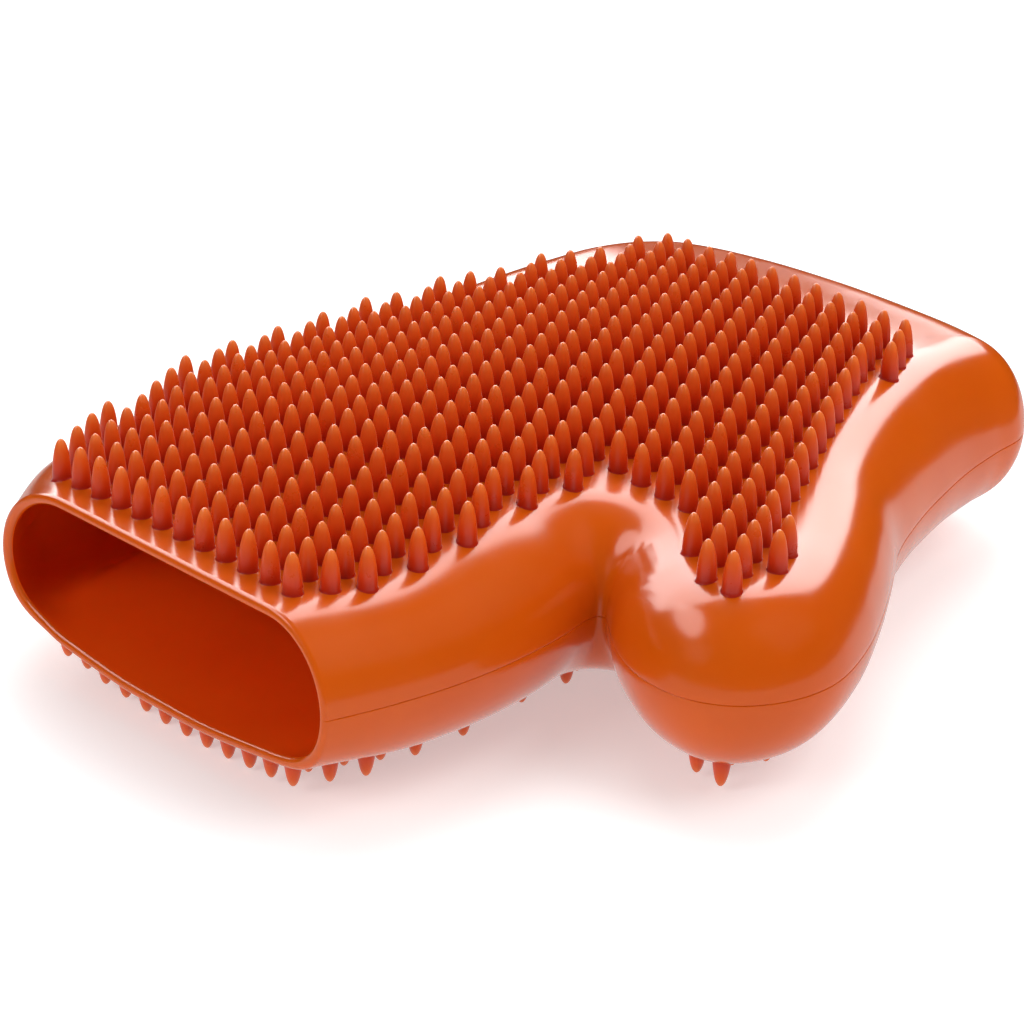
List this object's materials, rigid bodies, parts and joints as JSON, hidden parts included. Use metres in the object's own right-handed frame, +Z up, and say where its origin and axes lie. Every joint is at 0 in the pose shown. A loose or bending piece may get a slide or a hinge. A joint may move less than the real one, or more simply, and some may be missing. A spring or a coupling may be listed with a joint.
{
  "type": "grooming glove",
  "caption": "Hollow moulded rubber grooming mitt with a thumb, wrist opening, mid-height parting line and staggered rows of bullet-shaped massage pins on both faces.",
  "frame": {"origin": "Centre of the wrist opening, in the plane of its flat rim and at the height of the parting line", "axes": "+X towards the thumb side, +Y into the mitt towards the fingertips, +Z up out of the upper pin field"},
  "size_m": [0.1606, 0.2019, 0.0544],
  "materials": {
    "shell_rubber": "Glossy moulded orange elastomer with a fine parting line",
    "pin_rubber": "The same orange elastomer, satin on the pins, with paler worn tips"
  },
  "bodies": {
    "root": {"upper_shell": "shell_rubber", "lower_shell": "shell_rubber", "upper_pins_row_01": "pin_rubber", "upper_pins_row_02": "pin_rubber", "upper_pins_row_03": "pin_rubber", "upper_pins_row_04": "pin_rubber", "upper_pins_row_05": "pin_rubber", "upper_pins_row_06": "pin_rubber", "upper_pins_row_07": "pin_rubber", "upper_pins_row_08": "pin_rubber", "upper_pins_row_09": "pin_rubber", "upper_pins_row_10": "pin_rubber", "upper_pins_row_11": "pin_rubber", "upper_pins_row_12": "pin_rubber", "upper_pins_row_13": "pin_rubber", "upper_pins_row_14": "pin_rubber", "upper_pins_row_15": "pin_rubber", "upper_pins_row_16": "pin_rubber", "upper_pins_row_17": "pin_rubber", "upper_pins_row_18": "pin_rubber", "upper_pins_row_19": "pin_rubber", "upper_pins_row_20": "pin_rubber", "upper_pins_row_21": "pin_rubber", "upper_pins_row_22": "pin_rubber", "upper_pins_row_23": "pin_rubber", "upper_pins_row_24": "pin_rubber", "upper_pins_row_25": "pin_rubber", "upper_pins_row_26": "pin_rubber", "upper_pins_row_27": "pin_rubber", "upper_pins_row_28": "pin_rubber", "lower_pins_row_01": "pin_rubber", "lower_pins_row_02": "pin_rubber", "lower_pins_row_03": "pin_rubber", "lower_pins_row_04": "pin_rubber", "lower_pins_row_05": "pin_rubber", "lower_pins_row_06": "pin_rubber", "lower_pins_row_07": "pin_rubber", "lower_pins_row_08": "pin_rubber", "lower_pins_row_09": "pin_rubber", "lower_pins_row_10": "pin_rubber", "lower_pins_row_11": "pin_rubber", "lower_pins_row_12": "pin_rubber", "lower_pins_row_13": "pin_rubber", "lower_pins_row_14": "pin_rubber", "lower_pins_row_15": "pin_rubber", "lower_pins_row_16": "pin_rubber", "lower_pins_row_17": "pin_rubber", "lower_pins_row_18": "pin_rubber", "lower_pins_row_19": "pin_rubber", "lower_pins_row_20": "pin_rubber", "lower_pins_row_21": "pin_rubber", "lower_pins_row_22": "pin_rubber", "lower_pins_row_23": "pin_rubber", "lower_pins_row_24": "pin_rubber", "lower_pins_row_25": "pin_rubber", "lower_pins_row_26": "pin_rubber", "lower_pins_row_27": "pin_rubber", "lower_pins_row_28": "pin_rubber"}
  },
  "joints": []
}
